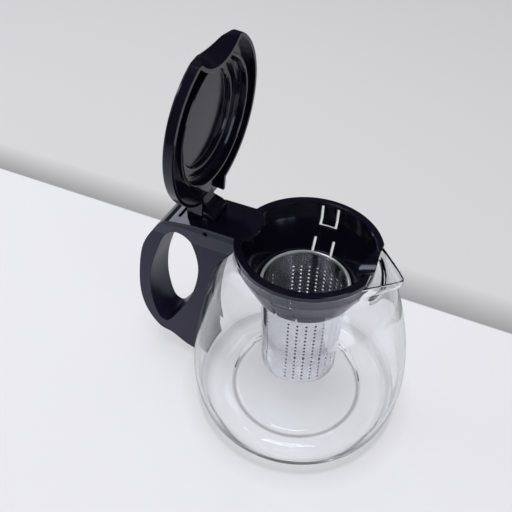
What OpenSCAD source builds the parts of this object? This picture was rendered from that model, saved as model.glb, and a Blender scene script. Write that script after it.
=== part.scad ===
// Glass teapot with a snap-in plastic collar, a hinged lid, a two-part handle and a
// lift-out steel infuser. Millimetres. The origin is on the pot's axis at the plane it
// stands on, +X points to the spout and -X to the handle. The lid is drawn open.

/* [Glass] */
// Widest outer radius of the glass
body_r = 66.6; // [60:0.2:75]
// Height of the widest point
belly_z = 28; // [20:1:40]
// Outer radius where the belly meets the shoulder
shoulder_r = 52.6; // [47:0.2:56]
// Height where the belly meets the shoulder
shoulder_z = 94.5; // [85:0.5:98]
// Outer radius of the neck
neck_r = 39.6; // [37:0.2:44]
// Height of the glass rim
rim_z = 123; // [119:0.5:140]
// Straight length of the neck below the rim
neck_len = 5; // [3:0.5:9]
// Outer radius of the flat foot
foot_r = 53; // [46:0.5:55]
// Radius at which the base starts to rise towards its middle
foot_in_r = 43; // [35:0.5:45]
// Radius of the rounded heel
heel_r = 12; // [8:0.5:14]
// Rise of the base's middle above the table
base_rise = 2; // [1:0.25:5]
// Glass wall thickness
glass_wall = 2; // [1.6:0.1:2.6]
// Thickness of the glass base
base_wall = 3; // [2.5:0.1:4]

/* [Spout] */
// Distance of the spout's tip from the axis
spout_reach = 52.8; // [48:0.2:60]
// Half the width of the pouring gap in the rim
spout_half_w = 16.4; // [12:0.2:20]
// Drop of the spout's lip from the rim to the tip
spout_drop = 2; // [1:0.2:6]
// Depth of the spout below the rim where it leaves the neck
spout_depth = 17; // [14:0.5:20]
// Outer radius of the spout's tip
spout_tip_r = 3; // [2.6:0.1:4]

/* [Collar] */
// Thickness of the flange on the glass rim
flange_t = 3; // [2.5:0.1:4.5]
// Overhang of the flange past the neck
flange_over = 0.4; // [0:0.1:2]
// Wall thickness of the collar
collar_wall = 1.7; // [1.2:0.1:2.2]
// Depth of the collar's straight part below the flange top
collar_straight = 11; // [9:0.5:14]
// Depth of the whole collar below the flange top
collar_depth = 32; // [28:0.5:36]
// Width of the seat that carries the infuser
seat_w = 1.9; // [1.5:0.1:2.4]
// Thickness of the seat
seat_t = 1.4; // [1:0.1:2]
// Width of the snap tongues
snap_w = 9.4; // [6:0.2:12]
// Width of the slots beside the tongues
slot_w = 1.6; // [1:0.1:2.2]
// Height of the upper snap tongues
snap_h = 14; // [9:0.5:14.5]
// Height of the lower slots
slit_h = 10.4; // [6:0.2:12]
// Depth of the pouring notch below the flange top, at the collar's wall
notch_depth = 4.5; // [3:0.5:7]
// Distance from the axis to the inner edge of the land under the notch
land_x = 28.4; // [27.5:0.1:32]

/* [Infuser] */
// Outer radius of the perforated tube
tube_r = 24; // [20:0.2:24.6]
// Length of the tube
tube_len = 63.5; // [50:0.5:75]
// Sheet thickness of the steel
steel_t = 0.5; // [0.4:0.05:0.8]
// Radius of the rolled rim's wire shape
roll_r = 1.1; // [0.9:0.05:1.3]
// Radius of the perforations
hole_r = 0.7; // [0.5:0.05:0.8]
// Distance between two rows of perforations
row_pitch = 6.4; // [5:0.1:9]
// Angle between two columns of perforations
hole_step = 12; // [11:0.5:12]
// Columns of perforations on the spout's side
wide_columns = 19; // [9:1:19]
// Columns of perforations on the handle's side
narrow_columns = 7; // [3:1:7]

/* [Handle] */
// Half the width of the bridge and of the handle's top
bridge_half_w = 14.1; // [13:0.1:16]
// Half the thickness of the grip
grip_half_w = 11; // [9:0.2:12.6]
// Distance of the grip's outside from the axis
handle_reach = 108.8; // [106:0.2:116]
// Height of the handle's lowest point
handle_foot_z = 9; // [7:0.5:12]
// Wall thickness of the handle halves
shell_t = 2.4; // [2:0.1:3]
// Gap between the handle and the glass
glass_gap = 0.4; // [0.2:0.05:1]
// Thickness of the bridge and its tongue
bridge_t = 2.2; // [1.8:0.1:2.4]
// Reach of the tongue over the collar, from the axis
tongue_x = 27.8; // [26.5:0.2:31]
// Radius of the tongue's round end
tongue_end_r = 17.3; // [16.5:0.1:24]
// Shank radius of the long handle screws
screw_r = 1.2; // [1:0.1:1.4]
// Head radius of the long handle screws
screw_head_r = 2.3; // [2:0.1:2.6]
// Shank radius of the two small side screws
side_screw_r = 0.8; // [0.6:0.1:1]
// Head radius of the two small side screws
side_head_r = 1.4; // [1.2:0.1:1.6]

/* [Lid] */
// Outer radius of the lid
lid_r = 43.6; // [42.8:0.2:46]
// Height of the lid's edge
lid_edge_h = 5.5; // [5:0.1:7]
// Rise of the dome above the edge
dome_h = 8.5; // [8.5:0.25:12]
// Wall thickness of the lid
lid_wall = 1.8; // [1.4:0.1:2]
// Gap between the closed lid and the collar's top
lid_gap = 0.3; // [0.2:0.05:0.8]
// Distance of the hinge axis from the pot's axis
hinge_x = 58; // [56:0.2:60]
// Height of the hinge axis above the collar's top
hinge_rise = 1; // [0.6:0.1:1.6]
// Opening angle of the lid
lid_open = 84.5; // [60:0.5:88]
// Half the width of the lid's rear tab
tab_half_w = 13.6; // [11:0.1:14]
// Radius of the lid's knuckle
knuckle_r = 5.4; // [4.6:0.1:5.8]
// Half the width of the knuckle
knuckle_half_w = 5.4; // [4:0.1:6]
// Radius of the hinge pin
pin_r = 1.5; // [1.2:0.1:1.8]
// Outer radius of the liner's plug ring
plug_r = 34; // [32:0.2:34.4]
// Height of the liner's floor above the lid's lower edge
dish_h = 8.1; // [7:0.1:8.1]
// Inner radius of the ledge round the liner's floor
ledge_r = 26.4; // [25:0.2:27]

/* [Fits] */
// Radial clearance of the hinge pin in the lid's knuckle
pin_fit = 0.05; // [0.02:0.01:0.08]
// Clearance between pieces that slide or turn past each other
run_gap = 0.4; // [0.3:0.05:0.6]
// Clearance between pieces that are assembled and stay put
seat_gap = 0.15; // [0.1:0.05:0.2]
// Radial gap between the collar and the glass neck
neck_gap = 0.5; // [0.3:0.1:0.8]
// Radial clearance round the screws
screw_fit = 0.05; // [0.02:0.01:0.08]

/* [Hidden] */
$fn = 96;
plastic = "#15141b";
satin = "#2b2935";
steel = "#c9ccd1";
clear_glass = [0.82, 0.92, 0.90, 0.35];

// Collar
top_z = rim_z + flange_t;
flange_r = neck_r + flange_over;
collar_r = neck_r - glass_wall - neck_gap;
collar_in_r = collar_r - collar_wall;
kink_z = top_z - collar_straight;
collar_foot_z = top_z - collar_depth;
seat_r = tube_r + run_gap;
seat_top_z = collar_foot_z + seat_t;
mouth_r = seat_r + seat_w;
collar_foot_r = mouth_r + collar_wall * 0.9;
bevel = 0.8;
flange_chord_x = sqrt(pow(flange_r, 2) - pow(spout_half_w, 2));
slot_top_z = top_z - flange_t / 2 - 0.2;
notch_r = 14;
notch_slope = 22;
land_round = 12;

// Infuser
tube_top_z = seat_top_z + roll_r;
tube_foot_z = tube_top_z - tube_len;
roll_mid_r = mouth_r - run_gap - roll_r;
hole_foot_z = tube_foot_z + 4.6;
hole_top_z = seat_top_z - 8;
hole_start = -89;

// Bridge, hinge and handle
pin_z = top_z + hinge_rise;
bridge_z = top_z - bridge_t;
slot_half_w = knuckle_half_w + run_gap;
ear_t = 2.5;
ear_r = knuckle_r - 0.2;
ear_front = 5.8;
ear_back = [-hinge_x - 6.5, pin_z + 2.6];
ear_back_r = 4.6;
ear_foot_z = top_z - 8.5;
pin_half_len = slot_half_w + ear_t;
screw_head_y = 6;
lug_half_w = screw_head_y - run_gap;
lug_foot_z = rim_z - 6.4;
lug_end_x = -(hinge_x - knuckle_r - run_gap - 0.5);
relief_half_w = 8.7;
relief_len = 12;
relief_depth = 1.2;
grip_flare_z = top_z - 17;
screw_tip_y = -8;
screw_head_t = 1.6;
side_x = -(hinge_x - 3);
side_z = top_z - 3.9;
side_seat_y = pin_half_len + 1.2;

// Lid, in its closed place
lid_x = -0.6;
lid_z = top_z + lid_gap;
lid_top_z = lid_z + lid_edge_h;
lid_in_r = lid_r - lid_wall;
land_z = lid_top_z - lid_wall + 0.2;
hollow_r = plug_r - 1.5;
tab_end_x = -(hinge_x - knuckle_r - 2);
arm_end_x = lid_x - lid_r + 8.6;
lid_notch_x = lid_r - 5.3;
lid_scoop = 7.1;
lid_scoop_top = 3.6;
lid_scoop_r = 26.6;
scoop_wall = 1.8;
plug_z = lid_z + 0.5;
plug_in_r = plug_r - 1.8;
ledge_z = lid_z + 6;
dish_z = lid_z + dish_h;
cove_r = 3;
edge_round = 1.4;

function arc(centre, r, from, to, steps) =
    [for (i = [0 : steps])
        let (a = from + (to - from) * i / steps)
        centre + r * [cos(a), sin(a)]];

function bezier(p, t) =
    p[0] * pow(1 - t, 3) + 3 * p[1] * pow(1 - t, 2) * t + 3 * p[2] * (1 - t) * t * t + p[3] * pow(t, 3);

function spline_point(a, b, c, d, t) =
    0.5 * (2 * b + (c - a) * t + (2 * a - 5 * b + 4 * c - d) * t * t
        + (3 * b - a - 3 * c + d) * t * t * t);

// A smooth closed loop through a list of points
function smooth_loop(p, steps) = let (n = len(p))
    [for (i = [0 : n - 1]) for (k = [0 : steps - 1])
        spline_point(p[(i + n - 1) % n], p[i], p[(i + 1) % n], p[(i + 2) % n], k / steps)];

// A smooth open path through a list of points
function smooth_path(p, steps) = let (n = len(p))
    concat([for (i = [0 : n - 2]) for (k = [0 : steps - 1])
        spline_point(p[max(i - 1, 0)], p[i], p[i + 1], p[min(i + 2, n - 1)], k / steps)], [p[n - 1]]);

// The points of an open path moved sideways, to the left of its direction
function shifted(p, d) = let (n = len(p))
    [for (i = [0 : n - 1])
        let (a = p[max(i - 1, 0)], b = p[min(i + 1, n - 1)], v = (b - a) / norm(b - a))
        p[i] + d * [-v[1], v[0]]];

// The same for a closed loop
function inset(p, d) = let (n = len(p))
    [for (i = [0 : n - 1])
        let (v = p[(i + 1) % n] - p[(i + n - 1) % n])
        p[i] + d * [-v[1], v[0]] / norm(v)];

// The glass wall's outside from the heel to the rim, as radius and height
function belly_at(z) = body_r - (body_r - shoulder_r) * pow((z - belly_z) / (shoulder_z - belly_z), 1.7);
shoulder_slope = 1.7 * (body_r - shoulder_r) / (shoulder_z - belly_z);
neck_foot_z = rim_z - neck_len;
shoulder_pull = (neck_foot_z - shoulder_z) * 0.4;
shoulder_curve = [[shoulder_r, shoulder_z],
                  [shoulder_r - shoulder_pull * shoulder_slope, shoulder_z + shoulder_pull],
                  [neck_r, neck_foot_z - shoulder_pull], [neck_r, neck_foot_z]];
heel_top = [foot_r + heel_r, heel_r];
wall_path = concat(
    [for (a = [-90 : 10 : -10]) [foot_r + heel_r * cos(a), heel_r + heel_r * sin(a)]],
    [for (t = [0 : 0.25 : 0.75])
        heel_top + [(body_r - heel_top[0]) * sin(90 * t), (belly_z - heel_r) * t]],
    [for (t = [0 : 0.1 : 0.95]) let (z = belly_z + t * (shoulder_z - belly_z)) [belly_at(z), z]],
    [for (t = [0 : 0.1 : 1]) bezier(shoulder_curve, t)],
    [[neck_r, rim_z]]);
inner_path = [for (p = shifted(wall_path, glass_wall))
    if (p[1] > base_wall + 1 && p[1] < rim_z - 0.1) p];

module glass_outside(gap = 0) {
    path = gap == 0 ? wall_path : shifted(wall_path, -gap);
    rotate_extrude()
        polygon(concat([[0, base_rise], [foot_in_r * 0.6, base_rise * 0.8], [foot_in_r, 0]], path,
                       [[0, rim_z]]));
}

module glass_inside() {
    rotate_extrude()
        polygon(concat([[0, base_rise + base_wall], [foot_in_r * 0.6, base_rise * 0.8 + base_wall],
                        [foot_in_r + 2, base_wall]],
                       inner_path, [[neck_r - glass_wall, rim_z + 1], [0, rim_z + 1]]));
}

// The spout's form, narrowing from the gap in the rim to the tip
module beak(wall) {
    root_x = flange_chord_x - 2.5;
    hull() {
        translate([spout_reach - spout_tip_r, 0, rim_z - 5.4 + wall])
            cylinder(r = spout_tip_r - wall, h = 9, $fn = 24);
        for (s = [-1, 1])
            translate([root_x, s * (spout_half_w - 2.6), rim_z - 5.4 + wall])
                cylinder(r = 3 - wall, h = 9, $fn = 24);
        for (x = [root_x - 2, root_x + 3])
            translate([x, 0, rim_z - spout_depth])
                sphere(r = 5 - wall, $fn = 24);
    }
}

module glass_body() color(clear_glass) difference() {
    union() {
        glass_outside();
        beak(0);
    }
    glass_inside();
    beak(glass_wall);
    translate([flange_chord_x, -40, rim_z])
        rotate([0, atan(spout_drop / (spout_reach - flange_chord_x)), 0])
            cube([60, 80, 20]);
    translate([-neck_r - 5, -60, rim_z])
        cube([120, 120, 20]);
}

module collar_ring() {
    rotate_extrude()
        polygon([
            [collar_in_r + bevel, top_z], [flange_r - bevel / 2, top_z], [flange_r, top_z - bevel / 2],
            [flange_r, rim_z], [collar_r, rim_z], [collar_r, kink_z], [collar_foot_r, collar_foot_z],
            [seat_r, collar_foot_z], [seat_r, seat_top_z], [mouth_r, seat_top_z],
            [collar_in_r, kink_z], [collar_in_r, top_z - bevel]]);
}

// Two legs and a bar free a tongue that hangs from the flange
module snap_slots() {
    bar_z = slot_top_z - snap_h;
    depth = collar_r + 0.2 - 28;
    for (x = [-snap_w / 2, snap_w / 2])
        translate([x - slot_w / 2, 28, bar_z])
            cube([slot_w, depth, snap_h]);
    translate([-snap_w / 2, 28, bar_z])
        cube([snap_w, depth, slot_w]);
    for (x = [-1, 1])
        translate([x * (snap_w / 2 + 1) - slot_w / 2, seat_r - 6, collar_foot_z - 1])
            cube([slot_w, 24, slit_h + 1]);
}

// A round groove that falls towards the opening
module pour_notch() {
    translate([collar_in_r, 0, top_z - notch_depth + notch_r / cos(notch_slope)])
        rotate([0, 90 - notch_slope, 0])
            cylinder(r = notch_r, h = 28, center = true);
}

// The thick part of the wall under the notch
module pour_land() {
    intersection() {
        translate([land_x + land_round, 0, kink_z]) {
            cylinder(r1 = land_round - 3, r2 = land_round, h = 3);
            translate([0, 0, 3])
                cylinder(r = land_round, h = top_z - kink_z - 3 - bevel);
        }
        translate([0, 0, kink_z])
            cylinder(r = collar_in_r + bevel, h = collar_straight);
    }
}

// The bridge's outline from above, with its round end over the opening
module bridge_plan(gap = 0) {
    w = bridge_half_w + gap;
    mid_x = -tongue_x - tongue_end_r;
    union() {
        intersection() {
            translate([mid_x, 0])
                circle(r = tongue_end_r + gap);
            translate([mid_x - 1, -w])
                square([tongue_end_r + 10, 2 * w]);
        }
        translate([-handle_reach, -w])
            square([mid_x + handle_reach, 2 * w]);
    }
}

module collar_lug(gap = 0) {
    translate([lug_end_x - gap, -lug_half_w - gap, lug_foot_z - gap])
        cube([-neck_r - glass_gap - lug_end_x + gap, 2 * (lug_half_w + gap), rim_z - lug_foot_z + gap]);
    translate([lug_end_x - gap, -lug_half_w - gap, rim_z - 1])
        cube([-collar_r - lug_end_x, 2 * (lug_half_w + gap), bridge_z - seat_gap - rim_z + 1]);
}

module collar() color(plastic) difference() {
    union() {
        collar_ring();
        pour_land();
        difference() {
            collar_lug();
            glass_outside(glass_gap);
        }
    }
    translate([flange_chord_x, -60, rim_z - 0.1])
        cube([60, 120, 60]);
    pour_notch();
    snap_slots();
    mirror([0, 1, 0])
        snap_slots();
    translate([0, 0, bridge_z - seat_gap])
        linear_extrude(height = 10)
            bridge_plan(seat_gap);
    long_screw_at(0)
        cylinder(r = screw_r + screw_fit, h = 40, center = true);
}

// Side outline of the handle with its bridge, from above the hinge round to the tail
function hx(k) = -handle_reach * (1 - k);
function hz(k) = handle_foot_z + k * (top_z - handle_foot_z);
side_curve = smooth_path([
    [-hinge_x, top_z], [hx(0.351), hz(0.987)], [hx(0.251), hz(0.965)], [hx(0.168), hz(0.879)],
    [hx(0.06), hz(0.704)], [hx(0), hz(0.419)], [hx(0.015), hz(0.229)], [hx(0.095), hz(0.101)],
    [hx(0.189), hz(0.073)], [hx(0.288), hz(0.017)], [hx(0.375), hz(-0.004)]], 6);
side_loop = concat([[-tongue_x + 2, top_z]], side_curve,
                   [[-foot_r + 6, hz(0)], [-tongue_x + 2, hz(0.3)]]);
finger_loop = smooth_loop([
    [hx(0.073), hz(0.368)], [hx(0.094), hz(0.2145)], [hx(0.135), hz(0.1675)], [hx(0.189), hz(0.192)],
    [hx(0.313), hz(0.381)], [hx(0.386), hz(0.539)], [hx(0.419), hz(0.709)], [hx(0.382), hz(0.862)],
    [hx(0.308), hz(0.905)], [hx(0.22), hz(0.8376)], [hx(0.141), hz(0.675)], [hx(0.092), hz(0.533)]], 5);
split_line = [[0, bridge_z], [-hinge_x - 2, bridge_z], [hx(0.351), hz(0.987) - bridge_t],
              [hx(0.22), hz(0.957) - bridge_t], [hx(0), hz(0.957) - bridge_t]];

module across(half_w) {
    rotate([90, 0, 0])
        linear_extrude(height = 2 * half_w, center = true)
            children();
}

module below_split() {
    polygon(concat(split_line, [[hx(0) - 5, hz(0.9)], [hx(0) - 5, -5], [0, -5]]));
}

module above_split() {
    polygon(concat([for (p = split_line) p + [0, seat_gap]], [[hx(0), top_z + 5], [0, top_z + 5]]));
}

module knuckle_space() {
    translate([-hinge_x, 0, pin_z])
        rotate([90, 0, 0])
            cylinder(r = knuckle_r + run_gap, h = 2 * slot_half_w, center = true);
}

// A shallow seat behind the hinge, parallel to the bridge's top
module thumb_relief() {
    across(relief_half_w)
        difference() {
            translate([-hinge_x - ear_r - relief_len, bridge_z - 10])
                square([relief_len, 20]);
            translate([0, -relief_depth])
                polygon(side_loop);
        }
}

// An ear for the pin above the bridge that runs on below it as a post
module ear(gap = 0) {
    translate([-hinge_x - ear_r - gap, slot_half_w - gap, ear_foot_z - gap])
        cube([ear_r + ear_front + 2 * gap, ear_t + 2 * gap, bridge_z - ear_foot_z + 0.5 + gap]);
}

// The ear above the bridge: round over the pin, rising to a rounded back
module ear_top() {
    front = [-hinge_x, pin_z];
    run = ear_back - front;
    lean = atan2(run[1], run[0]) - acos((ear_r - ear_back_r) / norm(run));
    up = [cos(lean), sin(lean)];
    translate([0, slot_half_w + ear_t, 0])
        rotate([90, 0, 0])
            linear_extrude(height = ear_t)
                union() {
                    translate(front)
                        circle(r = ear_r);
                    translate(ear_back)
                        circle(r = ear_back_r);
                    polygon([
                        [front[0] + ear_r, bridge_z], front + [ear_r, 0], front, front + ear_r * up,
                        ear_back + ear_back_r * up, ear_back, ear_back - [ear_back_r, 0],
                        [ear_back[0] - ear_back_r, bridge_z]]);
                }
}

module both_sides() {
    children();
    mirror([0, 1, 0])
        children();
}

module pin_bore(fit) {
    translate([-hinge_x, 0, pin_z])
        rotate([90, 0, 0])
            cylinder(r = pin_r + fit, h = 80, center = true);
}

module bridge() color(plastic) difference() {
    union() {
        difference() {
            intersection() {
                translate([0, 0, bridge_z - 30])
                    linear_extrude(height = 60)
                        bridge_plan();
                across(bridge_half_w)
                    intersection() {
                        polygon(side_loop);
                        above_split();
                    }
            }
            thumb_relief();
        }
        both_sides() {
            ear();
            ear_top();
        }
    }
    knuckle_space();
    pin_bore(screw_fit);
    side_bore(side_screw_r + screw_fit);
}

module side_bore(r) {
    translate([side_x, 0, side_z])
        rotate([90, 0, 0])
            cylinder(r = r, h = 2 * side_seat_y, center = true);
}

long_screws = [[(lug_end_x - neck_r) / 2, rim_z - 3.3], [hx(0.056), hz(0.565)], [hx(0.205), hz(0.108)]];

module long_screw_at(i) {
    translate([long_screws[i][0], 0, long_screws[i][1]])
        rotate([90, 0, 0])
            children();
}

module half_solid() {
    intersection() {
        translate([0, bridge_half_w / 2, 0])
            across(bridge_half_w / 2)
                intersection() {
                    difference() {
                        polygon(side_loop);
                        polygon(finger_loop);
                    }
                    below_split();
                }
        rotate([90, 0, 90])
            translate([0, 0, -handle_reach - 5])
                linear_extrude(height = handle_reach + 5)
                    polygon([[0, 0], [grip_half_w, 0], [grip_half_w, grip_flare_z],
                             [bridge_half_w, top_z - 5], [bridge_half_w, top_z + 5], [0, top_z + 5]]);
    }
}

// The hollow of a half, with a wall left all round and bosses for the screws
module half_hollow() {
    difference() {
        translate([0, (grip_half_w - shell_t) / 2, 0])
            across((grip_half_w - shell_t) / 2)
                intersection() {
                    difference() {
                        polygon(inset(side_loop, shell_t));
                        polygon(inset(finger_loop, -shell_t));
                    }
                    translate([-handle_reach, hz(0.2)])
                        square([handle_reach, hz(0.86) - hz(0.2)]);
                }
        glass_outside(glass_gap + shell_t);
        for (i = [0 : 2])
            long_screw_at(i)
                cylinder(r = screw_r + 1.6, h = 40, center = true);
    }
}

module handle_half() {
    difference() {
        half_solid();
        half_hollow();
        glass_outside(glass_gap);
        translate([0, 0, rim_z - 1])
            cylinder(r = flange_r + seat_gap, h = 10);
        collar_lug(seat_gap);
        knuckle_space();
        ear(seat_gap);
        translate([-hinge_x - ear_r - seat_gap, 0, ear_foot_z - seat_gap])
            cube([ear_r + ear_front + 2 * seat_gap, slot_half_w, 20]);
        side_bore(side_screw_r + screw_fit);
        translate([side_x, side_seat_y, side_z])
            rotate([-90, 0, 0])
                cylinder(r = side_head_r + screw_fit, h = 10);
    }
}

module handle_left() color(satin) difference() {
    handle_half();
    for (i = [0 : 2])
        long_screw_at(i) {
            cylinder(r = screw_r + screw_fit, h = 80, center = true);
            translate([0, 0, -30 - screw_head_y])
                cylinder(r = screw_head_r + screw_fit, h = 30);
        }
}

module handle_right() color(satin) difference() {
    mirror([0, 1, 0])
        handle_half();
    for (i = [0 : 2])
        long_screw_at(i)
            translate([0, 0, -5])
                cylinder(r = screw_r + screw_fit, h = 5 - screw_tip_y + 0.3);
}

module long_screw() {
    difference() {
        union() {
            translate([0, 0, -screw_head_y])
                cylinder(r = screw_r, h = screw_head_y - screw_tip_y);
            translate([0, 0, -screw_head_y - screw_head_t])
                cylinder(r = screw_head_r, h = screw_head_t);
        }
        for (a = [0, 90])
            rotate([0, 0, a])
                translate([-1.3, -0.25, -screw_head_y - screw_head_t - 1])
                    cube([2.6, 0.5, 1.9]);
    }
}

module handle_screws() color(steel) {
    for (i = [0 : 2])
        long_screw_at(i)
            long_screw();
}

module side_screw() {
    translate([side_x, slot_half_w + 0.5, side_z])
        rotate([-90, 0, 0])
            difference() {
                union() {
                    cylinder(r = side_screw_r, h = side_seat_y - slot_half_w - 0.5);
                    translate([0, 0, side_seat_y - slot_half_w - 0.5])
                        cylinder(r = side_head_r, h = 0.9);
                }
                for (a = [0, 90])
                    rotate([0, 0, a])
                        translate([-0.9, -0.2, side_seat_y - slot_half_w])
                            cube([1.8, 0.4, 2]);
            }
}

module side_screws() color(steel) both_sides()
    side_screw();

module hinge_pin() color(steel)
    translate([-hinge_x, 0, pin_z])
        rotate([90, 0, 0])
            cylinder(r = pin_r, h = 2 * pin_half_len, center = true);

// The lid's place for an angle away from closed
module opened(angle) {
    translate([-hinge_x, 0, pin_z])
        rotate([0, -angle, 0])
            translate([hinge_x, 0, -pin_z])
                children();
}

function dome(r) = lid_top_z + dome_h * (1 - pow(r / (lid_r - edge_round), 2));

module lid_shell() {
    outer_r = lid_r - edge_round;
    translate([lid_x, 0, 0])
        rotate_extrude()
            polygon(concat(
                [[lid_in_r, lid_z], [lid_r, lid_z]],
                arc([outer_r, lid_top_z - edge_round], edge_round, 0, 90, 4),
                [for (k = [7 : -1 : 1]) [outer_r * k / 8, dome(outer_r * k / 8)]],
                [[0, dome(0)], [0, dome(0) - lid_wall]],
                [for (k = [1 : 6]) [hollow_r * k / 6, dome(hollow_r * k / 6) - lid_wall]],
                [[hollow_r, land_z], [lid_in_r, land_z]]));
}

// The square end of the lid behind its round edge
module lid_tab() {
    translate([tab_end_x, -tab_half_w, lid_z])
        cube([-tab_end_x - 36, 2 * tab_half_w, lid_edge_h]);
}

module tab_hollow() {
    translate([tab_end_x - 1, -tab_half_w + lid_wall, lid_z - 1])
        cube([-tab_end_x - 35, 2 * (tab_half_w - lid_wall), land_z - lid_z + 1]);
}

// The arm that carries the knuckle, level with the dome's edge on top
module lid_arm() {
    translate([-hinge_x, 0, pin_z])
        rotate([90, 0, 0])
            cylinder(r = knuckle_r, h = 2 * knuckle_half_w, center = true);
    across(knuckle_half_w)
        polygon([
            [-hinge_x, pin_z], [-hinge_x + knuckle_r - 0.1, pin_z - 0.3],
            [-hinge_x + knuckle_r + 2.1, lid_z + 2.3],
            [tab_end_x + 4.6, land_z], [arm_end_x, land_z], [arm_end_x, dome(lid_x - arm_end_x) - 0.2],
            [-hinge_x, pin_z + knuckle_r]]);
}

// The pouring scoop in the lid's front, widened by a gap
module scoop(gap) {
    rise = lid_edge_h + dome_h / 2;
    narrowing = (lid_scoop - lid_scoop_top) * rise / lid_edge_h;
    translate([lid_x + lid_notch_x - lid_scoop + lid_scoop_r, 0, lid_z])
        cylinder(r1 = lid_scoop_r + gap, r2 = lid_scoop_r + gap - narrowing, h = rise);
}

module lid_cover() color(plastic) opened(lid_open) difference() {
    union() {
        difference() {
            union() {
                lid_shell();
                difference() {
                    lid_tab();
                    translate([lid_x, 0, 0])
                        cylinder(r = lid_in_r, h = land_z);
                }
            }
            tab_hollow();
        }
        intersection() {
            scoop(scoop_wall);
            translate([lid_x, 0, lid_z])
                cylinder(r = lid_in_r + 0.5, h = land_z - lid_z + 0.5);
        }
        lid_arm();
    }
    pin_bore(pin_fit);
    translate([lid_x + lid_notch_x, -lid_r, lid_z - 1])
        cube([20, 2 * lid_r, 30]);
    scoop(0);
}

// The liner under the dome: a plug ring, a ledge and a sunk floor
module lid_liner() color(plastic) opened(lid_open) difference() {
    translate([lid_x, 0, 0])
        rotate_extrude()
            polygon(concat(
                [[0, dish_z]],
                arc([ledge_r, dish_z], dish_z - ledge_z, 180, 270, 3),
                arc([plug_in_r - cove_r, ledge_z - cove_r], cove_r, 90, 0, 4),
                [[plug_in_r, plug_z + 0.4], [plug_in_r + 0.4, plug_z], [plug_r - 0.4, plug_z],
                 [plug_r, plug_z + 0.4], [plug_r, land_z], [hollow_r - seat_gap, land_z],
                 [hollow_r - seat_gap, ledge_z + 0.6], [ledge_r + 1.4, ledge_z + 1.2],
                 [ledge_r - 1.6, dish_z + 1], [0, dish_z + 1]]));
    scoop(scoop_wall + seat_gap);
}

module infuser_rim() color(steel) rotate_extrude()
    difference() {
        translate([roll_mid_r, tube_top_z])
            circle(r = roll_r, $fn = 32);
        translate([0, tube_top_z - 5])
            square([tube_r, 10]);
    }

module hole_column(angle) {
    for (z = [hole_foot_z : row_pitch : hole_top_z])
        rotate([0, 0, angle])
            translate([tube_r - 2, 0, z])
                rotate([0, 90, 0])
                    cylinder(r = hole_r, h = 4, $fn = 24);
}

module infuser_tube() color(steel) difference() {
    translate([0, 0, tube_foot_z])
        cylinder(r = tube_r, h = tube_len);
    translate([0, 0, tube_foot_z - 1])
        cylinder(r = tube_r - steel_t, h = tube_len + 2);
    for (i = [0 : wide_columns - 1])
        hole_column(hole_start + i * hole_step);
    for (i = [1 : narrow_columns])
        hole_column(hole_start + (wide_columns + 1 + i) * hole_step);
}

module infuser_base() color(steel) rotate_extrude()
    polygon([
        [0, tube_foot_z], [tube_r - steel_t, tube_foot_z], [tube_r - steel_t, tube_foot_z + 3],
        [tube_r - 2 * steel_t, tube_foot_z + 3], [tube_r - 2 * steel_t, tube_foot_z + steel_t],
        [0, tube_foot_z + steel_t]]);

glass_body();
collar();
bridge();
handle_left();
handle_right();
handle_screws();
side_screws();
hinge_pin();
lid_cover();
lid_liner();
infuser_rim();
infuser_tube();
infuser_base();
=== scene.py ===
import math

import bmesh
import bpy
from mathutils import Matrix, Vector


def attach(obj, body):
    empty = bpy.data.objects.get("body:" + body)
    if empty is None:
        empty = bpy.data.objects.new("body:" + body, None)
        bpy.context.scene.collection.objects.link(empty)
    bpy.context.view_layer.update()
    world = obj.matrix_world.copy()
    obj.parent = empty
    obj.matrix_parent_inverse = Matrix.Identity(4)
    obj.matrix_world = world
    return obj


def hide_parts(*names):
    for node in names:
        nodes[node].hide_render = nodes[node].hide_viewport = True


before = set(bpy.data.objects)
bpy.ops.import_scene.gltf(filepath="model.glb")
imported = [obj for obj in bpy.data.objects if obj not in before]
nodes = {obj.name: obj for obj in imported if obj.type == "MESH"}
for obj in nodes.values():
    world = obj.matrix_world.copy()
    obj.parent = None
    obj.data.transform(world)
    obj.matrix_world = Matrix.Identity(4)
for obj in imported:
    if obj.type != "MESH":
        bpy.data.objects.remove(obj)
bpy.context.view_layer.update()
mm = 0.001
print("frame loaded:", len(nodes), "nodes")


def addNode(tree, kind, **values):
    node = tree.nodes.new(kind)
    for key, value in values.items():
        setattr(node, key, value)
    return node


def addMath(tree, operation, first, second, clamp=False):
    # first and second are sockets to link or plain numbers
    node = addNode(tree, "ShaderNodeMath", operation=operation, use_clamp=clamp)
    for socket, value in zip(node.inputs, (first, second)):
        if isinstance(value, bpy.types.NodeSocket):
            tree.links.new(value, socket)
        else:
            socket.default_value = value
    return node.outputs[0]


def addRange(tree, value, low, high, start=0, end=1, **values):
    # value from low to high gives start to end
    node = addNode(tree, "ShaderNodeMapRange", **values)
    for socket, number in zip(("From Min", "From Max", "To Min", "To Max"), (low, high, start, end)):
        node.inputs[socket].default_value = number
    tree.links.new(value, node.inputs["Value"])
    return node.outputs["Result"]


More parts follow.
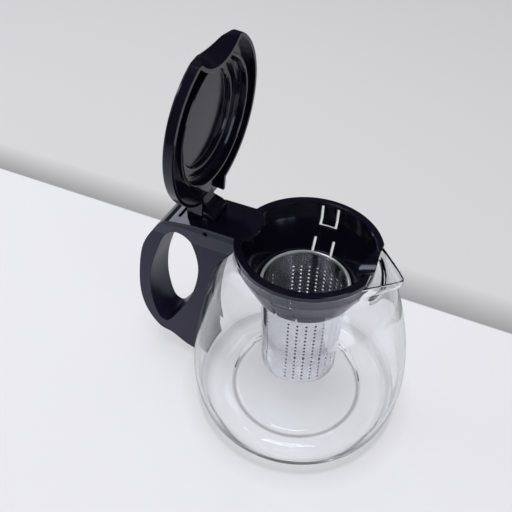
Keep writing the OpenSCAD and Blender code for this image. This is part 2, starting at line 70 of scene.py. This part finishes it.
def makeGrainGroup():
    # cloudy roughness, a colour that drifts a little and a fine bump height, all from Object coordinates
    group = bpy.data.node_groups.new("surfaceGrain", "ShaderNodeTree")
    socket = group.interface.new_socket
    socket("Color", in_out="INPUT", socket_type="NodeSocketColor")
    for name in ("Roughness", "Cloud Scale", "Grain Scale", "Drift"):
        socket(name, in_out="INPUT", socket_type="NodeSocketFloat")
    socket("Color", in_out="OUTPUT", socket_type="NodeSocketColor")
    socket("Roughness", in_out="OUTPUT", socket_type="NodeSocketFloat")
    socket("Height", in_out="OUTPUT", socket_type="NodeSocketFloat")
    inputs = group.nodes.new("NodeGroupInput")
    outputs = group.nodes.new("NodeGroupOutput")
    coords = group.nodes.new("ShaderNodeTexCoord")
    cloud = group.nodes.new("ShaderNodeTexNoise")
    cloud.inputs["Detail"].default_value = 4
    grain = group.nodes.new("ShaderNodeTexNoise")
    grain.inputs["Detail"].default_value = 2
    centred = addNode(group, "ShaderNodeMath", operation="SUBTRACT")
    centred.inputs[1].default_value = 0.5
    spread = addNode(group, "ShaderNodeMath", operation="MULTIPLY_ADD")
    spread.inputs[2].default_value = 1
    roughness = addNode(group, "ShaderNodeMath", operation="MULTIPLY", use_clamp=True)
    tint = addNode(group, "ShaderNodeVectorMath", operation="SCALE")
    link = group.links.new
    link(coords.outputs["Object"], cloud.inputs["Vector"])
    link(coords.outputs["Object"], grain.inputs["Vector"])
    link(inputs.outputs["Cloud Scale"], cloud.inputs["Scale"])
    link(inputs.outputs["Grain Scale"], grain.inputs["Scale"])
    link(cloud.outputs["Fac"], centred.inputs[0])
    link(centred.outputs[0], spread.inputs[0])
    link(inputs.outputs["Drift"], spread.inputs[1])
    link(inputs.outputs["Roughness"], roughness.inputs[0])
    link(spread.outputs[0], roughness.inputs[1])
    link(inputs.outputs["Color"], tint.inputs[0])
    link(spread.outputs[0], tint.inputs["Scale"])
    link(tint.outputs[0], outputs.inputs["Color"])
    link(roughness.outputs[0], outputs.inputs["Roughness"])
    link(grain.outputs["Fac"], outputs.inputs["Height"])
    return group


grainGroup = makeGrainGroup()


def newMaterial(name):
    mat = bpy.data.materials.new(name)
    mat.use_nodes = True
    tree = mat.node_tree
    shader = tree.nodes["Principled BSDF"]
    return mat, tree, shader


def grainedMaterial(name, look):
    # look holds the color, the roughness and how far both drift, the scales of the clouds and of the grain,
    # the strength and depth of the bump and the radius of worn edges, both in millimetres, and plain sockets;
    # its lit color is painted light: the lighter color the piece gets where it is seen through glass, which
    # stands in for the light that comes in through the glass, and litLevel is its specular level there
    mat, tree, shader = newMaterial(name)
    link = tree.links.new
    grain = addNode(tree, "ShaderNodeGroup", node_tree=grainGroup)
    grain.inputs["Color"].default_value = (*look["color"], 1)
    grain.inputs["Roughness"].default_value = look["roughness"]
    grain.inputs["Cloud Scale"].default_value = look["cloudScale"]
    grain.inputs["Grain Scale"].default_value = look["grainScale"]
    grain.inputs["Drift"].default_value = look["drift"]
    bump = addNode(tree, "ShaderNodeBump")
    bump.inputs["Strength"].default_value = look["bump"]
    bump.inputs["Distance"].default_value = look["bumpDepth"] * mm
    link(grain.outputs["Color"], shader.inputs["Base Color"])
    link(grain.outputs["Roughness"], shader.inputs["Roughness"])
    link(grain.outputs["Height"], bump.inputs["Height"])
    link(bump.outputs["Normal"], shader.inputs["Normal"])
    for socket, value in look["sockets"].items():
        shader.inputs[socket].default_value = value
    if "edge" in look:
        edge = addNode(tree, "ShaderNodeBevel", samples=4)
        edge.inputs["Radius"].default_value = look["edge"] * mm
        link(edge.outputs["Normal"], bump.inputs["Normal"])
    if "paintedLightColor" in look:
        path = tree.nodes.new("ShaderNodeLightPath")
        behind = path.outputs["Is Transmission Ray"]
        level = addRange(tree, behind, 0, 1, look["sockets"]["Specular IOR Level"], look["litLevel"])
        link(level, shader.inputs["Specular IOR Level"])
        coat = addRange(tree, behind, 0, 1, look["sockets"]["Coat Weight"], 0)
        link(coat, shader.inputs["Coat Weight"])
        # painted light: the plastic is made lighter where it is seen through glass
        tone = addNode(tree, "ShaderNodeMix", data_type="RGBA")
        tone.inputs["B"].default_value = (*look["paintedLightColor"], 1)
        link(behind, tone.inputs["Factor"])
        link(grain.outputs["Color"], tone.inputs["A"])
        link(tone.outputs["Result"], shader.inputs["Base Color"])
    return mat


clearGlassLook = {
    "color": (0.945, 0.957, 0.96), "roughness": 0.004, "drift": 0.02, "cloudScale": 12, "grainScale": 25,
    "bump": 0.03, "bumpDepth": 1, "sockets": {"Transmission Weight": 1, "IOR": 1.47, "Metallic": 0}}
# glossPlastic is painted lighter where it is seen through glass, which stands in for light coming in through
# the glass
glossPlasticLook = {
    "color": (0.0035, 0.003, 0.0075), "roughness": 0.13, "drift": 0.5, "cloudScale": 35, "grainScale": 400,
    "bump": 0.02, "bumpDepth": 0.2, "edge": 0.35, "paintedLightColor": (0.055, 0.048, 0.09), "litLevel": 0.06,
    "sockets": {"Specular IOR Level": 0.5, "Specular Tint": (0.8, 0.78, 1, 1), "Coat Weight": 0.25,
                "Coat Roughness": 0.05}}
satinPlasticLook = {
    "color": (0.013, 0.011, 0.026), "roughness": 0.36, "drift": 0.4, "cloudScale": 25, "grainScale": 1800,
    "bump": 0.12, "bumpDepth": 0.2, "edge": 0.6,
    "sockets": {"Specular IOR Level": 0.45, "Specular Tint": (0.72, 0.7, 1, 1)}}
polishedSteelLook = {
    "color": (0.70, 0.70, 0.735), "roughness": 0.11, "drift": 0.5, "cloudScale": 60, "grainScale": 1200,
    "bump": 0.05, "bumpDepth": 0.2, "edge": 0.1, "sockets": {"Metallic": 1.0}}
rolledSteelLook = {
    "color": (0.74, 0.74, 0.77), "roughness": 0.15, "drift": 0.3, "cloudScale": 60, "grainScale": 1200,
    "bump": 0.03, "bumpDepth": 0.2, "edge": 0.1, "sockets": {"Metallic": 0.6}}
screwSteelLook = {
    "color": (0.45, 0.45, 0.47), "roughness": 0.3, "drift": 0.4, "cloudScale": 200, "grainScale": 3000,
    "bump": 0.1, "bumpDepth": 0.2, "edge": 0.1, "sockets": {"Metallic": 1.0}}

clearGlass = grainedMaterial("clearGlass", clearGlassLook)
glossPlastic = grainedMaterial("glossPlastic", glossPlasticLook)
satinPlastic = grainedMaterial("satinPlastic", satinPlasticLook)
polishedSteel = grainedMaterial("polishedSteel", polishedSteelLook)
rolledSteel = grainedMaterial("rolledSteel", rolledSteelLook)
screwSteel = grainedMaterial("screwSteel", screwSteelLook)
print("materials made")


def meshPiece(name, bm, material, body, sharpAngle):
    mesh = bpy.data.meshes.new(name)
    bm.to_mesh(mesh)
    bm.free()
    for polygon in mesh.polygons:
        polygon.use_smooth = True
    mesh.set_sharp_from_angle(angle=math.radians(sharpAngle))
    piece = bpy.data.objects.new(name, mesh)
    bpy.context.scene.collection.objects.link(piece)
    mesh.materials.append(material)
    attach(piece, body)
    return piece


def spinProfile(bm, points, segments):
    # points are (radius, height) in millimetres; the profile is spun a full turn about Z
    verts = [bm.verts.new((r * mm, 0, z * mm)) for r, z in points]
    edges = [bm.edges.new(pair) for pair in zip(verts, verts[1:])]
    bmesh.ops.spin(bm, geom=verts + edges, cent=(0, 0, 0), axis=(0, 0, 1), angle=math.tau,
                   steps=segments, use_merge=True)
    bmesh.ops.remove_doubles(bm, verts=bm.verts, dist=1e-6)
    bmesh.ops.recalc_face_normals(bm, faces=bm.faces)


def smoothStep(low, high, value):
    t = min(max((value - low) / (high - low), 0), 1)
    return t * t * (3 - 2 * t)


# sizes in millimetres; taper, shoulderPull and spoutSpread have no unit, tipTurn is in radians and
# sharpAngle in degrees
vessel = {
    "bellyR": 66.6, "bellyZ": 28, "shoulderR": 52.6, "shoulderZ": 94.5, "neckR": 39.6, "rimZ": 123,
    "neckLength": 5, "footR": 53, "heelR": 12, "footInR": 43, "baseRise": 2, "wall": 2, "floorZ": 5.6,
    "cornerR": 2.5, "taper": 1.7, "shoulderPull": 0.4, "ringStep": 1.6, "ringWidth": 1.2,
    "spoutReach": 52.8, "spoutHalfW": 16.4, "spoutRootZ": 108, "spoutFullZ": 118.5, "spoutDrop": 2,
    "spoutWall": 1.2, "spoutOver": 1.2, "spoutBlend": 0.9, "spoutSpread": 1.2, "tipTurn": 0.035,
    "thinFrom": 3, "segments": 256, "sharpAngle": 60}


def cubic(a, b, c, d, t):
    return a * (1 - t) ** 3 + 3 * b * (1 - t) ** 2 * t + 3 * c * (1 - t) * t * t + d * t ** 3


def vesselOutside():
    # outside of the round glass from the heel to the lip, as radius and height
    v = vessel
    heelSteps, sideSteps, taperSteps, shoulderSteps, neckSteps = 13, 8, 24, 16, 4
    points = []
    for step in range(heelSteps):
        angle = math.radians(-90 + 90 * step / heelSteps)
        points.append((v["footR"] + v["heelR"] * math.cos(angle), v["heelR"] + v["heelR"] * math.sin(angle)))
    heelTopR = v["footR"] + v["heelR"]
    for step in range(sideSteps):
        t = step / sideSteps
        points.append((heelTopR + (v["bellyR"] - heelTopR) * math.sin(t * math.pi / 2),
                       v["heelR"] + (v["bellyZ"] - v["heelR"]) * t))
    rise = v["shoulderZ"] - v["bellyZ"]
    narrowing = v["bellyR"] - v["shoulderR"]
    for step in range(taperSteps):
        z = v["bellyZ"] + rise * step / taperSteps
        points.append((v["bellyR"] - narrowing * ((z - v["bellyZ"]) / rise) ** v["taper"], z))
    slope = v["taper"] * narrowing / rise
    neckFootZ = v["rimZ"] - v["neckLength"]
    pull = (neckFootZ - v["shoulderZ"]) * v["shoulderPull"]
    for step in range(shoulderSteps + 1):
        t = step / shoulderSteps
        points.append((cubic(v["shoulderR"], v["shoulderR"] - pull * slope, v["neckR"], v["neckR"], t),
                       cubic(v["shoulderZ"], v["shoulderZ"] + pull, neckFootZ - pull, neckFootZ, t)))
    points.extend((v["neckR"], neckFootZ + v["neckLength"] * k / neckSteps) for k in range(1, neckSteps))
    return points


def movedInwards(points, distance):
    # each point moved along the outline's normal
    moved = []
    for index, point in enumerate(points):
        before = Vector(points[max(index - 1, 0)])
        after = Vector(points[min(index + 1, len(points) - 1)])
        along = (after - before).normalized()
        moved.append((point[0] - along.y * distance, point[1] + along.x * distance))
    return moved


def spoutPull(x, y, z):
    # how far the glass stands out from the round neck at this place, and how far its lip drops
    v = vessel
    r = math.hypot(x, y)
    if x <= 0 or z < v["spoutRootZ"]:
        return 0, 0
    angle = math.atan2(abs(y), x)
    edgeAngle = math.asin(v["spoutHalfW"] / v["neckR"])
    chordX = v["neckR"] * math.cos(edgeAngle)
    slant = (v["spoutReach"] - chordX) / v["spoutHalfW"]
    endAngle = v["spoutSpread"] * edgeAngle
    softAngle = math.hypot(angle, v["tipTurn"])
    reach = (v["spoutReach"] + v["spoutOver"]) / (math.cos(softAngle) + slant * math.sin(softAngle))
    extra = reach - v["neckR"]
    extra = 0.5 * (extra + math.hypot(extra, v["spoutBlend"])) if angle < endAngle else 0
    extra *= 1 - smoothStep(edgeAngle, endAngle, angle)
    return extra * smoothStep(v["spoutRootZ"], v["spoutFullZ"], z), extra / (v["spoutReach"] - v["neckR"])


def outsideRadius(points, z):
    # radius of the outline at this height
    for (lowR, lowZ), (highR, highZ) in zip(points, points[1:]):
        if lowZ <= z <= highZ and highZ > lowZ:
            return lowR + (highR - lowR) * (z - lowZ) / (highZ - lowZ)
    return points[-1][0]


def makeVessel():
    v = vessel
    baseSteps, cornerSteps, lipSteps = 8, 10, 8
    cornerClear = 0.5  # keeps the wall's points off the corner's
    outside = vesselOutside()
    cornerZ = v["floorZ"] + v["cornerR"]
    inside = [p for p in movedInwards(outside, v["wall"]) if p[1] > cornerZ + cornerClear]
    cornerMidR = inside[0][0] - v["cornerR"]
    corner = [(cornerMidR + v["cornerR"] * math.cos(a), cornerZ + v["cornerR"] * math.sin(a))
              for a in (-math.pi / 2 * k / cornerSteps for k in range(cornerSteps + 1))]
    lipR = v["wall"] / 2
    lip = [(v["neckR"] - lipR + lipR * math.cos(a), v["rimZ"] - lipR + lipR * math.sin(a))
           for a in (math.pi * k / lipSteps for k in range(lipSteps + 1))]
    stepR = v["footInR"] - v["ringWidth"]
    domeRise = v["baseRise"] - v["ringStep"]
    underside = [(stepR * k / baseSteps, v["ringStep"] + domeRise * (1 - (k / baseSteps) ** 3))
                 for k in range(baseSteps + 1)] + [(v["footInR"], 0)]
    upper = [(cornerMidR * k / baseSteps, v["floorZ"] + v["baseRise"] / 2 * (1 - (k / baseSteps) ** 2))
             for k in range(baseSteps)]
    bm = bmesh.new()
    spinProfile(bm, underside + outside + lip + inside[::-1] + corner + upper[::-1], v["segments"])
    for vert in bm.verts:
        x, y, z = vert.co / mm
        pull, drop = spoutPull(x, y, z)
        if pull:
            r = math.hypot(x, y)
            if r < outsideRadius(outside, z) - v["wall"] / 2:
                pull += (v["wall"] - v["spoutWall"]) * min(pull / v["thinFrom"], 1)
            vert.co.x *= (r + pull) / r
            vert.co.y *= (r + pull) / r
            vert.co.z -= v["spoutDrop"] * mm * drop * smoothStep(v["spoutRootZ"], v["rimZ"], z)
    bmesh.ops.recalc_face_normals(bm, faces=bm.faces)
    piece = meshPiece("glassVessel", bm, clearGlass, "pot", v["sharpAngle"])
    piece.visible_shadow = False
    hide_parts("glass_body")


makeVessel()
print("vessel made")

# sizes in millimetres, angles in degrees; the runs and the gap are counts of columns
infuser = {
    "tubeR": 24, "sheet": 0.5, "footZ": 33, "length": 63.5, "holeR": 0.7, "rowPitch": 3.2, "rows": 16,
    "columns": 30, "firstHoleZ": 37.6, "firstAngle": -89, "longRun": 19, "gap": 2, "shortRun": 7,
    "holeMargin": 0.35, "tubeSharpAngle": 40, "rollR": 1.1, "rollMidR": 24.8, "rollSteps": 20,
    "rollSegments": 160, "rollSharpAngle": 50}


def rowOfEdges(bm, y):
    # open edges that lie on one end of the flat sheet
    return [edge for edge in bm.edges
            if edge.is_boundary and all(abs(vert.co.y - y) < 1e-7 for vert in edge.verts)]


def makeInfuserTube():
    # a flat grid gets its holes and its plain ends, and is then rolled up
    v = infuser
    bm = bmesh.new()
    circumference = math.tau * v["tubeR"]
    cells = 2 * v["columns"]
    rows = v["rows"]
    bmesh.ops.create_grid(bm, x_segments=cells, y_segments=rows, size=0.5)
    bmesh.ops.scale(bm, vec=(circumference * mm, rows * v["rowPitch"] * mm, 1), verts=bm.verts)
    cellW = circumference / cells * mm
    cellH = v["rowPitch"] * mm
    shortStart = v["longRun"] + v["gap"]
    holedColumns = {*range(v["longRun"]), *range(shortStart, shortStart + v["shortRun"])}
    holed = []
    for face in bm.faces:
        centre = face.calc_center_median()
        column, spare = divmod(round(centre.x / cellW - 0.5) + v["columns"], 2)
        if spare == 0 and column in holedColumns:
            holed.append(face)
    bmesh.ops.inset_individual(bm, faces=holed, thickness=v["holeMargin"] * mm, use_even_offset=True)
    inner = {edge for face in holed for edge in face.edges}
    centres = {face: face.calc_center_median() for face in holed}
    bmesh.ops.subdivide_edges(bm, edges=list(inner), cuts=2)
    for face, centre in centres.items():
        for vert in face.verts:
            away = vert.co - centre
            away.x *= cellH / cellW
            vert.co = centre + away.normalized() * v["holeR"] * mm
    bmesh.ops.delete(bm, geom=holed, context="FACES")
    low, high = rowOfEdges(bm, -rows * cellH / 2), rowOfEdges(bm, rows * cellH / 2)
    middleZ = (v["firstHoleZ"] + (rows - 1) / 2 * v["rowPitch"]) * mm
    for edges, z in ((low, v["footZ"] * mm), (high, (v["footZ"] + v["length"]) * mm)):
        made = bmesh.ops.extrude_edge_only(bm, edges=edges)["geom"]
        for vert in (g for g in made if isinstance(g, bmesh.types.BMVert)):
            vert.co.y = z - middleZ
    start = math.radians(v["firstAngle"]) - math.pi / v["columns"] / 2
    for vert in bm.verts:
        angle = start + (vert.co.x / mm + circumference / 2) / v["tubeR"]
        vert.co = Vector((v["tubeR"] * mm * math.cos(angle), v["tubeR"] * mm * math.sin(angle),
                          middleZ + vert.co.y))
    bmesh.ops.remove_doubles(bm, verts=bm.verts, dist=1e-6)
    bmesh.ops.recalc_face_normals(bm, faces=bm.faces)
    # the sheet faces outwards before it gets its thickness
    probe = max(bm.faces, key=lambda f: f.calc_area())
    middle = probe.calc_center_median()
    if probe.normal.dot(Vector((middle.x, middle.y, 0))) < 0:
        bmesh.ops.reverse_faces(bm, faces=bm.faces)
    bmesh.ops.solidify(bm, geom=bm.faces, thickness=v["sheet"] * mm)
    bmesh.ops.recalc_face_normals(bm, faces=bm.faces)
    piece = meshPiece("infuserTube", bm, polishedSteel, "infuser", v["tubeSharpAngle"])
    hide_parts("infuser_tube")


def makeInfuserRim():
    v = infuser
    bm = bmesh.new()
    topZ = v["footZ"] + v["length"]
    openAngle = math.acos((v["rollMidR"] - v["tubeR"]) / v["rollR"])
    start, end = openAngle - math.pi, math.pi - openAngle
    arc = [(v["rollMidR"] + v["rollR"] * math.cos(a), topZ + v["rollR"] * math.sin(a))
           for a in (start + (end - start) * k / v["rollSteps"] for k in range(v["rollSteps"] + 1))]
    spinProfile(bm, arc + arc[:1], v["rollSegments"])
    piece = meshPiece("infuserRim", bm, rolledSteel, "infuser", v["rollSharpAngle"])
    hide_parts("infuser_rim")


makeInfuserTube()
makeInfuserRim()
print("infuser made")

for name, material in (
        ("collar", glossPlastic), ("bridge", glossPlastic), ("lid_cover", glossPlastic),
        ("lid_liner", glossPlastic), ("handle_left", satinPlastic), ("handle_right", satinPlastic),
        ("handle_screws", screwSteel), ("side_screws", screwSteel), ("hinge_pin", screwSteel),
        ("infuser_base", polishedSteel)):
    part = nodes[name]
    part.data.materials.clear()
    part.data.materials.append(material)
print("cad nodes dressed")

# angles in degrees, lengths in metres, focal and sensor in millimetres
view = {"azimuth": 24.51, "elevation": 43.4, "roll": 0.70, "distance": 0.3139, "focal": 40.783,
        "sensor": 36, "near": 0.01, "far": 30, "aim": (-0.0254, -0.0116, 0.1159)}


def makeCamera():
    azimuth, elevation = math.radians(view["azimuth"]), math.radians(view["elevation"])
    forward = Vector((-math.sin(azimuth) * math.cos(elevation), math.cos(azimuth) * math.cos(elevation),
                      -math.sin(elevation)))
    right = Vector((math.cos(azimuth), math.sin(azimuth), 0))
    up = right.cross(forward)
    turn = Matrix.Rotation(math.radians(view["roll"]), 3, -forward)
    right, up = turn @ right, turn @ up
    data = bpy.data.cameras.new("camera")
    data.lens = view["focal"]
    data.sensor_width = view["sensor"]
    data.clip_start = view["near"]
    data.clip_end = view["far"]
    camera = bpy.data.objects.new("camera", data)
    axes = Matrix((right, up, -forward)).transposed().to_4x4()
    camera.matrix_world = Matrix.Translation(Vector(view["aim"]) - forward * view["distance"]) @ axes
    bpy.context.scene.collection.objects.link(camera)
    bpy.context.scene.camera = camera


makeCamera()

# sizes in metres; glow is the share of the colour that is seen as it is, mirrored how bright the table is in
# reflections, and far its brightness beyond farR for all but the camera; shade is how bright the wall is at
# its foot, where a painted shade darkens it, and shadeLength how far that painted shade reaches
stage = {"size": 4.0, "sink": 0.0003, "edgeY": 0.1055, "edgeBlur": 0.0006, "table": (0.77, 0.765, 0.785),
         "wall": (0.645, 0.636, 0.635), "shadeLength": 0.036, "shade": 0.5, "glow": 0.6, "mirrored": 0.55,
         "nearR": 0.25, "farR": 0.75, "far": 0.25}

# painted shadow: brightness of the table under and round the pot, by distance from its axis in millimetres,
# standing in for the shade the glass casts
paintedShadowRing = ((40.6, 1), (41.6, 0.5), (42.6, 0.5), (43.6, 1), (55, 0.98), (60, 0.78), (65, 0.72), (67, 0.9),
           (78, 1))


def mirrorRays(tree, path):
    # 1 for what a surface mirrors, 0 for what is seen through glass
    return addMath(tree, "SUBTRACT", path.outputs["Is Glossy Ray"], path.outputs["Is Transmission Ray"], True)


def stageColor(tree, coords, away):
    # table up to its far edge, then the wall with a painted shade at its foot, and the painted shadow ring
    # round the pot
    link = tree.links.new
    split = tree.nodes.new("ShaderNodeSeparateXYZ")
    link(coords.outputs["Object"], split.inputs[0])
    y = split.outputs["Y"]
    edge = addRange(tree, y, stage["edgeY"] - stage["edgeBlur"], stage["edgeY"] + stage["edgeBlur"])
    # painted shade: the wall is darker towards its foot
    shade = addRange(tree, y, stage["edgeY"], stage["edgeY"] + stage["shadeLength"], stage["shade"])
    wall = addNode(tree, "ShaderNodeVectorMath", operation="SCALE")
    wall.inputs[0].default_value = stage["wall"]
    link(shade, wall.inputs["Scale"])
    color = addNode(tree, "ShaderNodeMix", data_type="RGBA")
    color.inputs["A"].default_value = (*stage["table"], 1)
    link(wall.outputs[0], color.inputs["B"])
    link(edge, color.inputs["Factor"])
    # painted shadow ring on the table round the pot's foot
    lastR = paintedShadowRing[-1][0]
    shadow = tree.nodes.new("ShaderNodeValToRGB")
    link(addRange(tree, away, 0, lastR * mm), shadow.inputs["Fac"])
    stops = shadow.color_ramp.elements
    while len(stops) < len(paintedShadowRing):
        stops.new(0.5)
    for stop, (radius, level) in zip(stops, paintedShadowRing):
        stop.position = radius / lastR
        stop.color = (level, level, level, 1)
    shaded = addNode(tree, "ShaderNodeMix", data_type="RGBA", blend_type="MULTIPLY")
    shaded.inputs["Factor"].default_value = 1
    link(color.outputs["Result"], shaded.inputs["A"])
    link(shadow.outputs["Color"], shaded.inputs["B"])
    return shaded.outputs["Result"]


def stageStrength(tree, path, away):
    # dimmer where a piece mirrors the table at once, and far from the pot for all but the camera
    direct = addMath(tree, "LESS_THAN", path.outputs["Ray Depth"], 1.5)
    mirrored = addMath(tree, "MULTIPLY", mirrorRays(tree, path), direct)
    dimmed = addRange(tree, mirrored, 0, 1, 1, stage["mirrored"])
    falloff = addRange(tree, away, stage["nearR"], stage["farR"], 1, stage["far"],
                       interpolation_type="SMOOTHSTEP")
    kept = addMath(tree, "MAXIMUM", path.outputs["Is Camera Ray"], falloff)
    return addMath(tree, "MULTIPLY", dimmed, kept)


def makeStage():
    bm = bmesh.new()
    bmesh.ops.create_grid(bm, x_segments=1, y_segments=1, size=stage["size"] / 2)
    bmesh.ops.translate(bm, vec=(0, 0, -stage["sink"]), verts=bm.verts)
    mesh = bpy.data.meshes.new("tableTop")
    bm.to_mesh(mesh)
    bm.free()
    floor = bpy.data.objects.new("tableTop", mesh)
    bpy.context.scene.collection.objects.link(floor)
    mat, tree, shader = newMaterial("tableSurface")
    tree.nodes.remove(shader)
    link = tree.links.new
    path = tree.nodes.new("ShaderNodeLightPath")
    coords = tree.nodes.new("ShaderNodeTexCoord")
    distance = addNode(tree, "ShaderNodeVectorMath", operation="LENGTH")
    link(coords.outputs["Object"], distance.inputs[0])
    away = distance.outputs["Value"]
    color = stageColor(tree, coords, away)
    matte = tree.nodes.new("ShaderNodeBsdfDiffuse")
    link(color, matte.inputs["Color"])
    glow = tree.nodes.new("ShaderNodeEmission")
    link(color, glow.inputs["Color"])
    link(stageStrength(tree, path, away), glow.inputs["Strength"])
    seen = addMath(tree, "MAXIMUM", path.outputs["Is Camera Ray"], path.outputs["Is Glossy Ray"])
    seen = addMath(tree, "MAXIMUM", seen, path.outputs["Is Transmission Ray"])
    mixed = tree.nodes.new("ShaderNodeMixShader")
    link(addMath(tree, "MULTIPLY", seen, stage["glow"]), mixed.inputs[0])
    link(matte.outputs[0], mixed.inputs[1])
    link(glow.outputs[0], mixed.inputs[2])
    link(mixed.outputs[0], tree.nodes["Material Output"].inputs["Surface"])
    mesh.materials.append(mat)


# place and size in metres, power in watts; a lamp with mirrored off isn't seen in reflections
lamps = {
    "overhead": {"place": (0, -0.1, 1.2), "size": (0.5, 0.5), "power": 6.5, "color": (0.97, 0.97, 1),
                 "mirrored": False},
    "backWindow": {"place": (-0.9, 0.9, 0.9), "size": (0.45, 0.6), "power": 2.2, "color": (0.85, 0.9, 1),
                   "mirrored": True},
    "ceilingLamp": {"place": (-0.25, 0.1, 1), "size": (0.2, 0.2), "power": 1.2, "color": (1, 1, 1),
                    "mirrored": True},
    "leftWindow": {"place": (-1.0, -0.1, 0.7), "size": (0.7, 0.7), "power": 5, "color": (0.85, 0.9, 1),
                   "mirrored": True},
    "rightWindow": {"place": (0.9, -0.5, 0.5), "size": (0.6, 0.8), "power": 3, "color": (0.85, 0.9, 1),
                    "mirrored": True}}

# the room's soft light, how much of it is seen through glass and mirrored by shiny surfaces, and the point
# that every lamp looks at
room = {"color": (0.86, 0.87, 0.95), "light": 0.45, "throughGlass": 0.16, "mirrored": 0.05,
        "middle": (0, 0, 0.1)}


def addLamp(name, lamp):
    data = bpy.data.lights.new(name, "AREA")
    data.shape = "RECTANGLE"
    data.size, data.size_y = lamp["size"]
    data.energy = lamp["power"]
    data.color = lamp["color"]
    light = bpy.data.objects.new(name, data)
    light.visible_glossy = lamp["mirrored"]
    light.location = lamp["place"]
    towards = Vector(room["middle"]) - Vector(lamp["place"])
    light.rotation_euler = towards.to_track_quat("-Z", "Y").to_euler()
    bpy.context.scene.collection.objects.link(light)


def makeLight():
    world = bpy.data.worlds.new("softRoom")
    bpy.context.scene.world = world
    world.use_nodes = True
    tree = world.node_tree
    background = tree.nodes["Background"]
    background.inputs["Color"].default_value = (*room["color"], 1)
    path = tree.nodes.new("ShaderNodeLightPath")
    clear = addRange(tree, path.outputs["Is Transmission Ray"], 0, 1, room["light"], room["throughGlass"])
    strength = addRange(tree, mirrorRays(tree, path), 0, 1, 0, room["mirrored"])
    tree.links.new(clear, strength.node.inputs["To Min"])
    tree.links.new(strength, background.inputs["Strength"])
    for name, lamp in lamps.items():
        addLamp(name, lamp)


makeStage()
makeLight()
bpy.context.scene.view_settings.view_transform = "Standard"
print("stage and light made")
